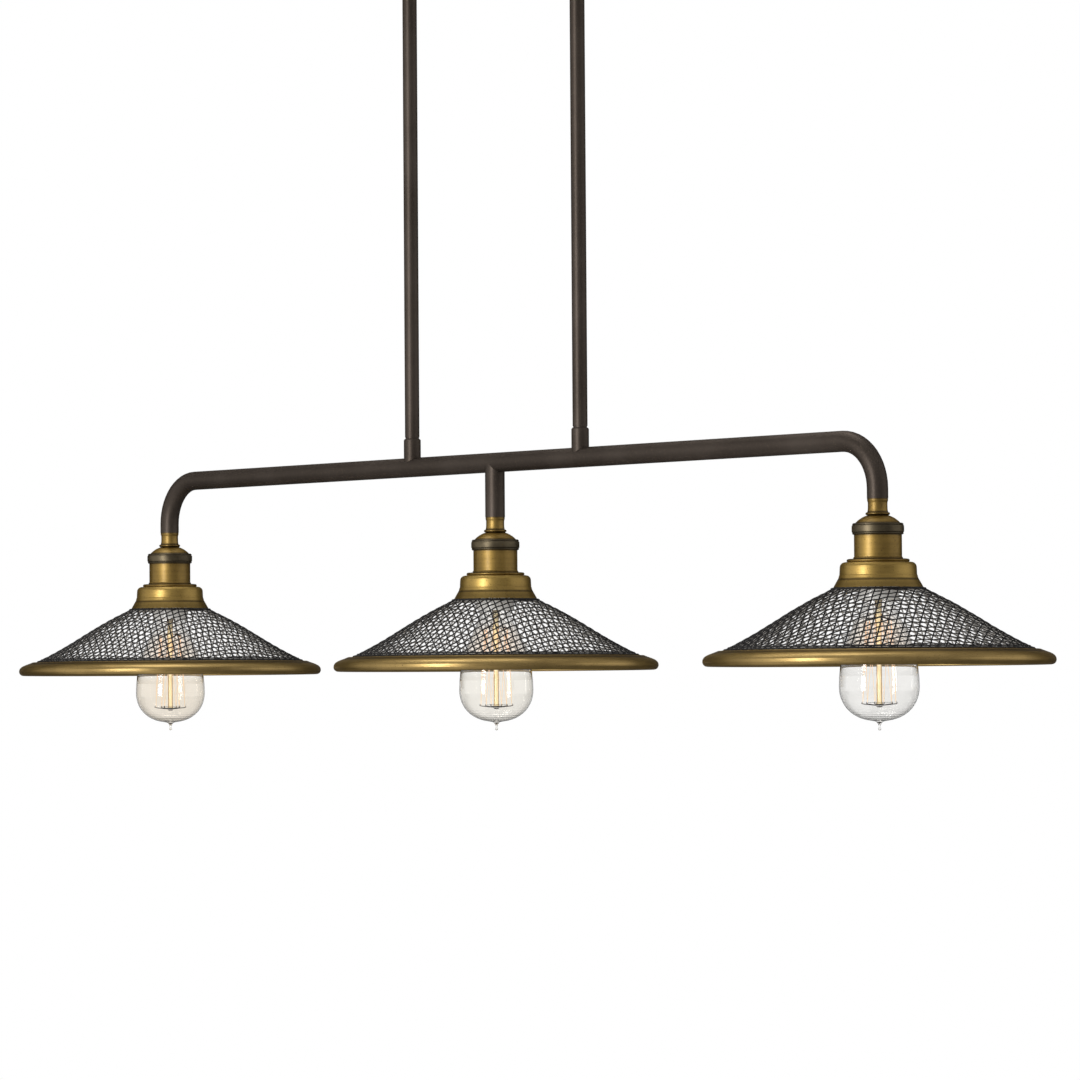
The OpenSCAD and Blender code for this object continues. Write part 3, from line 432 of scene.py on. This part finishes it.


# Shade mesh
# Round black wire woven over and under, two ways, then pressed to a slightly S-shaped cone and clinched
# under the rim's lip and the cup's hem, with hoops along both; two fine dark hoops above the lip are painted
# shade. The weave runs straight in plan. The wires' inner side is painted light, a lighter grey than the
# outer.
wire_pitch, wire_radius, weave_lift = 0.0059, 0.00062, 0.00033
wire_step, shortest_wire = 0.0019, 0.002
foot = np.array((0.1274, -0.732762))
head = np.array((0.0351, -0.68195))
slope = math.radians(25)
reach = 0.445 * np.linalg.norm(head - foot) * np.array((-math.cos(slope), math.sin(slope)))
foot_hem, head_hem = 0.0026, 0.0017
t = np.linspace(0, 1, 400)[:, None]
profile = (
    (1 - t) ** 3 * foot + 3 * (1 - t) ** 2 * t * (foot + reach)
    + 3 * (1 - t) * t ** 2 * (head - reach) + t ** 3 * head)
hem_step = np.array((math.cos(slope), -math.sin(slope)))
profile = np.vstack((foot + foot_hem * hem_step, profile, head - head_hem * hem_step))[::-1]
steepness = np.gradient(profile[:, 1], profile[:, 0])


def wire_path(across, index, other, side):
    """Points of one wire: straight in plan, on the cone, lifted over and under the wires of the other set."""
    normal = np.array((math.cos(across), math.sin(across)))
    along = np.array((-normal[1], normal[0]))
    other_normal = np.array((math.cos(other), math.sin(other)))
    offset = (index + 0.5) * wire_pitch
    outer, inner = profile[-1, 0], profile[0, 0]
    if abs(offset) >= outer:
        return []
    end = math.sqrt(outer ** 2 - offset ** 2)
    start = math.sqrt(inner ** 2 - offset ** 2) if abs(offset) < inner else 0
    stretches = [(-end, -start), (start, end)] if start else [(-end, end)]
    paths = []
    for low, high in stretches:
        if high - low < shortest_wire:
            continue
        s = np.linspace(low, high, max(3, round((high - low) / wire_step)))[:, None]
        plan = offset * normal + s * along
        radius = np.hypot(plan[:, 0], plan[:, 1])
        tilt = np.interp(radius, profile[:, 0], steepness)
        lift = side * weave_lift * np.cos(math.pi * (plan @ other_normal / wire_pitch - 0.5 + index))
        length = np.sqrt(1 + tilt ** 2)
        outward = plan / radius[:, None] * (-tilt / length * lift)[:, None]
        rise = np.interp(radius, profile[:, 0], profile[:, 1]) + lift / length
        paths.append(np.column_stack((plan + outward, rise)))
    return paths


def work_on(piece):
    """Makes this piece the only one selected, and the active one."""
    bpy.ops.object.select_all(action="DESELECT")
    piece.select_set(True)
    bpy.context.view_layer.objects.active = piece


def wires_from(name, paths, radius):
    """Round wires along paths of points, as one mesh."""
    curve = bpy.data.curves.new(name, "CURVE")
    curve.dimensions = "3D"
    curve.bevel_depth = radius
    curve.bevel_resolution = 1
    curve.use_fill_caps = True
    for path in paths:
        spline = curve.splines.new("POLY")
        spline.points.add(len(path) - 1)
        spline.points.foreach_set("co", np.column_stack((path, np.ones(len(path)))).ravel())
    piece = bpy.data.objects.new(name, curve)
    bpy.context.collection.objects.link(piece)
    work_on(piece)
    bpy.ops.object.convert(target="MESH")
    bpy.ops.object.shade_smooth()
    return bpy.context.object


black_wire, shader, place = new_finish("black_wire", IOR=1.38, Specular_IOR_Level=0.3)
thin = place.noise(240, 3)
lamp_centred = place.vector("WRAP", (lamp_spacing / 2, 9, 9), (-lamp_spacing / 2, -9, -9))
outward = lamp_centred.vector("MULTIPLY", (1, 1, 0)).vector("NORMALIZE")
outward = outward.vector("MULTIPLY_ADD", (math.sin(slope),) * 3, (0, 0, math.cos(slope)))
face = place.add("ShaderNodeTexCoord", {}, {}, "Normal")
# Painted light: faces turned inward are a lighter grey, as if lit by the bulbs; outward ones stay black.
faces_out = face.vector("DOT_PRODUCT", outward, output="Value")
sprayed = thin.rise(0.5, 0.75).mix((0.008, 0.007, 0.007), (0.020, 0.018, 0.016))
feed(
    shader,
    Base_Color=faces_out.rise(-0.42, -0.12).mix((0.40, 0.38, 0.35), sprayed),
    Roughness=0.42 + 0.2 * thin,
    Normal=place.noise(1800, 1).bump(0.2, 0.0001),
)
weave_turn = {"left": 0, "middle": 0, "right": -24}
weave_angle = 60
reach_in_wires = math.ceil(profile[-1, 0] / wire_pitch) + 1
# The first foot hoop clinches the mesh; the two above the lip are dark painted shade.
foot_and_shade_hoops = (0.1288, -0.7336, 0.0007), (0.1224, -0.7299, 0.0008), (0.1192, -0.7283, 0.0007)
head_hoop = (0.0370, -0.6823, 0.0011)
for lamp, lamp_x in lamps.items():
    first, second = math.radians(weave_turn[lamp]), math.radians(weave_turn[lamp] + weave_angle)
    paths = []
    for index in range(-reach_in_wires, reach_in_wires):
        paths += wire_path(first, index, second, 1)
        paths += wire_path(second, index, first, -1)
    shift = np.array((lamp_x, 0, 0))
    mesh_piece = wires_from(f"wire_mesh_{lamp}", [path + shift for path in paths], wire_radius)
    hoops = []
    for hoop_radius, hoop_height, thickness in (*foot_and_shade_hoops, head_hoop):
        bpy.ops.mesh.primitive_torus_add(
            major_radius=hoop_radius, minor_radius=thickness, major_segments=128, minor_segments=8,
            location=(lamp_x, 0, hoop_height))
        hoops.append(bpy.context.object)
        bpy.ops.object.transform_apply(location=True)
        bpy.ops.object.shade_smooth()
    work_on(mesh_piece)
    for hoop in hoops:
        hoop.select_set(True)
    bpy.ops.object.join()
    mesh_piece.data.materials.clear()
    mesh_piece.data.materials.append(black_wire)
    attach(mesh_piece, "hanging_frame")
    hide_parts(f"shade_mesh_{lamp}")


# Bulb bases
# A thin brass cap with a rolled screw thread, cemented to the glass neck, and a soldered contact
# in a ring of black glass at its top. The thread turns in the socket's screw shell.
def turn_on_lathe(name, outline, steps):
    """An outline of (radius, height), from the axis outward, down and back, spun round the middle lamp."""
    points, rings = [], []
    for r, z in outline:
        first, count = len(points), steps if r else 1
        rings.append([first + step % count for step in range(steps + 1)])
        turns = [2 * math.pi * step / count for step in range(count)]
        points += [(r * math.cos(turn), r * math.sin(turn), z) for turn in turns]
    faces = []
    for ring, lower in zip(rings, rings[1:]):
        for step in range(steps):
            corners = ring[step], lower[step], lower[step + 1], ring[step + 1]
            faces.append(list(dict.fromkeys(corners)))
    mesh = bpy.data.meshes.new(name)
    mesh.from_pydata(points, [], faces)
    piece = bpy.data.objects.new(name, mesh)
    bpy.context.collection.objects.link(piece)
    work_on(piece)
    bpy.ops.object.shade_smooth_by_angle(angle=math.radians(40))
    return piece


def copy_for(piece, name, lamp_x):
    """A copy with its own mesh, moved to another lamp in its vertices."""
    copy = piece.copy()
    copy.data = piece.data.copy()
    copy.name = name
    copy.data.transform(Matrix.Translation((lamp_x, 0, 0)))
    bpy.context.collection.objects.link(copy)
    return copy


contact_z, base_end, base_radius = -0.6626, -0.6896, 0.0131
thread_top, thread_end = contact_z - 0.0075, base_end + 0.0018
thread_pitch, thread_depth, run_out = 0.0036, 0.0006, 0.0018
outline = [(0, contact_z), (0.0030, contact_z), (0.0043, contact_z - 0.0009), (0.0049, contact_z - 0.0024)]
outline += [(base_radius - 0.0023, contact_z - 0.0045), (base_radius - 0.0009, contact_z - 0.0062)]
outline += [(base_radius, float(z)) for z in np.linspace(thread_top, thread_end, 56)]
outline += [(base_radius, base_end), (base_radius - 0.0005, base_end)]
outline += [(base_radius - 0.0005, contact_z - 0.009), (0.0045, contact_z - 0.0048), (0, contact_z - 0.0042)]
master_base = turn_on_lathe("master_base", outline, 72)
for vertex in master_base.data.vertices:
    x, y, z = vertex.co
    r = math.hypot(x, y)
    if r > base_radius - 0.0002 and thread_end - 1e-6 <= z <= thread_top + 1e-6:
        fade = min(1, (thread_top - z) / run_out, (z - thread_end) / run_out)
        wave = 0.5 - 0.5 * math.cos(2 * math.pi * z / thread_pitch + math.atan2(y, x))
        scale = (r - thread_depth * wave * max(0, fade)) / r
        vertex.co.x, vertex.co.y = x * scale, y * scale
base_brass, shader, place = new_finish("base_brass", Metallic=1.0)
radius = round_the_lamp(place)[0]
tarnish = place.noise(120, 4)
solder = 1 - radius.rise(0.0031, 0.0034)
black_glass = radius.rise(0.0042, 0.0045) * (1 - radius.rise(0.0100, 0.0104))
rolled = tarnish.rise(0.4, 0.7).mix((0.62, 0.46, 0.22), (0.42, 0.28, 0.12))
feed(
    shader,
    Base_Color=black_glass.mix(solder.mix(rolled, (0.55, 0.55, 0.56)), (0.012, 0.012, 0.014)),
    Metallic=1 - black_glass,
    Roughness=0.22 + 0.16 * tarnish,
)
master_base.data.materials.append(base_brass)
for lamp, lamp_x in lamps.items():
    base = copy_for(master_base, f"screw_base_{lamp}", lamp_x)
    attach(base, f"bulb_{lamp}")
    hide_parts(f"bulb_base_{lamp}")
bpy.data.objects.remove(master_base)


# Bulb glass
# Thin blown glass with a drawn tip, with a painted amber glow where the lit filament shines on it, and each
# bulb with a tint of its own. It looks darker at its edges, where the eye passes through more of the wall.
glass, shader, place = new_finish("bulb_glass", Roughness=0.0, IOR=1.46, Transmission_Weight=1.0)
edge = place.add("ShaderNodeLayerWeight", {}, {"Blend": 0.5}, "Facing")
across, height = place.axis(0), place.axis(2)
warm_tint = across.rise(-0.3, -0.2).mix((0.925, 0.885, 0.820), (0.935, 0.918, 0.880))
own_tint = across.rise(0.2, 0.3).mix(warm_tint, (0.930, 0.924, 0.910))
full_tint = height.rise(-0.750, -0.738).mix(own_tint, (0.985, 0.978, 0.965))
# Painted glow: an amber band on the glass at about the filament's height, kept off its edges.
filament_glow = height.rise(-0.744, -0.730) * (1 - height.rise(-0.712, -0.700)) * (1 - edge.rise(0.15, 0.60))
clear_glass = filament_glow.mix(full_tint, (0.990, 0.930, 0.865))
feed(shader, Base_Color=(edge ** 4).mix(clear_glass, (0.22, 0.21, 0.195)))
dress(glass, *at_each_lamp("bulb_glass"))


# Bulb insides: glass stem, wire spiders and filament
# A tinted glass stem is fused into the neck and ends in a button. Two rings of fine hooks are set in it,
# and one thin carbonised strand zigzags between them, glowing amber.
glass_top, cage_low, cage_high = -0.6725, -0.7726, -0.7066
cage_radius, cage_top_radius, strand_count = 0.0135, 0.0100, 12
strand_radius, strand_bow, hook_radius, hook_droop = 0.00020, 0.0007, 0.0004, 0.0012
outline = [(0, glass_top + 0.001), (0.0121, glass_top + 0.001), (0.0121, glass_top), (0.0107, glass_top)]
outline += [(0.0098, glass_top - 0.004), (0.0070, glass_top - 0.009)]
outline += [(0.0042, glass_top - 0.014), (0.0028, glass_top - 0.022)]
outline += [(0.0024, cage_high + 0.004), (0.0029, cage_high + 0.0012)]
outline += [(0.0029, cage_high - 0.0012), (0.0022, cage_high - 0.004)]
outline += [(0.0021, cage_low + 0.006), (0.0022, cage_low + 0.001)]
outline += [(0.0028, cage_low - 0.0008), (0.0028, cage_low - 0.0022)]
outline += [(0.0018, cage_low - 0.0031), (0, cage_low - 0.0033)]
master_stem = turn_on_lathe("master_stem", outline, 32)
amber_glass, shader, place = new_finish(
    "amber_stem", Roughness=0.05, IOR=1.5, Transmission_Weight=0.4, Emission_Strength=0.45)
streak = place.vector("MULTIPLY", (1500, 1500, 120)).noise(1.0)
height = place.axis(2)
above_knot = height.rise(cage_low - 0.0008, cage_low)
# Painted glow: between the hook rings the stem emits amber light, though only the filament is lit.
lit = above_knot * (1 - height.rise(cage_high, cage_high + 0.012))
at_edge = place.add("ShaderNodeLayerWeight", {}, {"Blend": 0.5}, "Facing").rise(0.10, 0.40)
body_tint = at_edge.mix(streak.mix((0.84, 0.70, 0.40), (0.95, 0.84, 0.60)), (0.22, 0.12, 0.03))
feed(
    shader,
    Base_Color=above_knot.mix((0.03, 0.02, 0.015), body_tint),
    Emission_Color=lit.mix((0.02, 0.015, 0.01), at_edge.mix((1.0, 0.84, 0.52), (0.30, 0.15, 0.03))),
)
master_stem.data.materials.append(amber_glass)


def hook(k):
    """The place of hook k: the even ones are in the lower ring and the odd ones in the upper ring."""
    radius, height = (cage_top_radius, cage_high) if k % 2 else (cage_radius, cage_low)
    angle = 2 * math.pi * k / strand_count
    return np.array((radius * math.cos(angle), radius * math.sin(angle), height))


strand_paths, spider_paths = [], []
for k in range(strand_count):
    tip, next_tip = hook(k), hook(k + 1)
    s = np.linspace(0, 1, 14)[:, None]
    straight = tip * (1 - s) + next_tip * s
    bow = straight * np.array((1, 1, 0))
    bow = bow / np.linalg.norm(bow, axis=1)[:, None] * strand_bow * np.sin(math.pi * s)
    strand_paths.append(straight + bow)
    away = tip * np.array((1, 1, 0)) / np.hypot(tip[0], tip[1])
    droop = -hook_droop if k % 2 else hook_droop
    spider_paths.append(np.array([
        away * 0.0010 + (0, 0, tip[2] - droop * 1.5),
        away * 0.006 + (0, 0, tip[2] - droop * 1.1),
        tip + (0, 0, -droop * 0.4),
        tip + away * 0.0009 + (0, 0, -droop * 0.1),
        tip + away * 0.0010 + (0, 0, droop * 0.5),
        tip + away * 0.0001 + (0, 0, droop * 0.7),
    ]))
master_strands = wires_from("master_strands", strand_paths, strand_radius)
master_spider = wires_from("master_spider", spider_paths, hook_radius)
glow, shader, place = new_finish("glowing_strand", Roughness=0.6, Emission_Strength=1.0)
uneven = place.noise(160, 2)
hotter = 0.75 * place.axis(2).rise(-0.752, -0.738) + 0.25 * uneven
feed(
    shader,
    Base_Color=uneven.mix((0.36, 0.20, 0.08), (0.50, 0.30, 0.13)),
    Emission_Color=hotter.mix((0.82, 0.66, 0.44), (0.95, 0.58, 0.36)),
)
master_strands.data.materials.append(glow)
spider_wire, shader, place = new_finish("spider_wire", Metallic=0.4)
soot = place.noise(500, 2)
feed(
    shader,
    Base_Color=soot.mix((0.012, 0.010, 0.008), (0.045, 0.035, 0.026)),
    Roughness=0.5 + 0.2 * soot,
)
master_spider.data.materials.append(spider_wire)
for lamp, lamp_x in lamps.items():
    for master, word in ((master_stem, "glass_stem"), (master_spider, "spider"), (master_strands, "strands")):
        piece = copy_for(master, f"{word}_{lamp}", lamp_x)
        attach(piece, f"bulb_{lamp}")
    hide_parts(f"filament_{lamp}")
for master in (master_stem, master_spider, master_strands):
    bpy.data.objects.remove(master)
